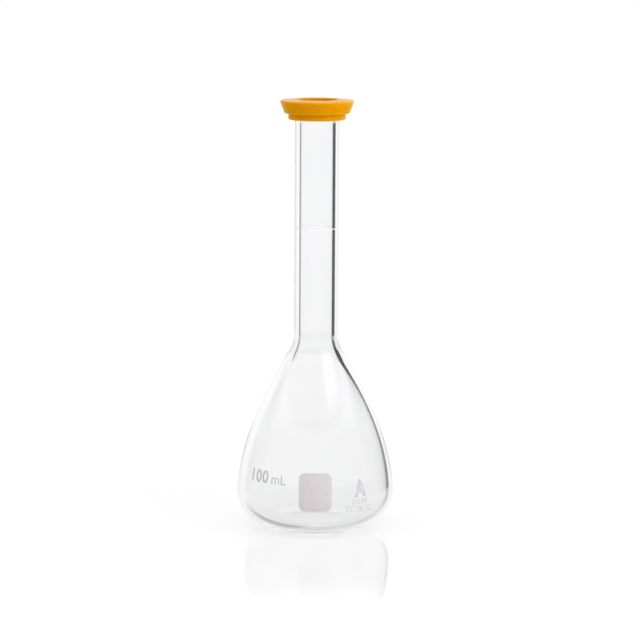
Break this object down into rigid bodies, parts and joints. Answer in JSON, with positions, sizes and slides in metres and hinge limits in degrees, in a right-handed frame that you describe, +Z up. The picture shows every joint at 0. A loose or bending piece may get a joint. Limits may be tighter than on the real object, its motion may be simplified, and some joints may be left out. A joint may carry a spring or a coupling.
{
  "type": "volumetric flask",
  "caption": "Pear-shaped glass volumetric flask with a long narrow neck, a graduation line round the neck and a flared plastic snap cap that pulls off the beaded mouth.",
  "frame": {"origin": "centre of the base, on the surface the flask stands on", "axes": "+Z up the neck, -Y towards the print on the front of the bulb"},
  "size_m": [0.0592, 0.0593, 0.1621],
  "materials": {
    "clear_glass": "polished",
    "fired_enamel": "matte",
    "line_enamel": "matte",
    "cap_plastic": "satin"
  },
  "bodies": {
    "flask_body": {"flask": "clear_glass", "graduation_line": "line_enamel", "marking_patch": "fired_enamel"},
    "cap": {"snap_cap": "cap_plastic"}
  },
  "joints": [
    {"name": "cap_lift", "type": "slide", "parent": "flask_body", "child": "cap", "axis": [0, 0, 1], "range_m": [0, 0.05]}
  ]
}
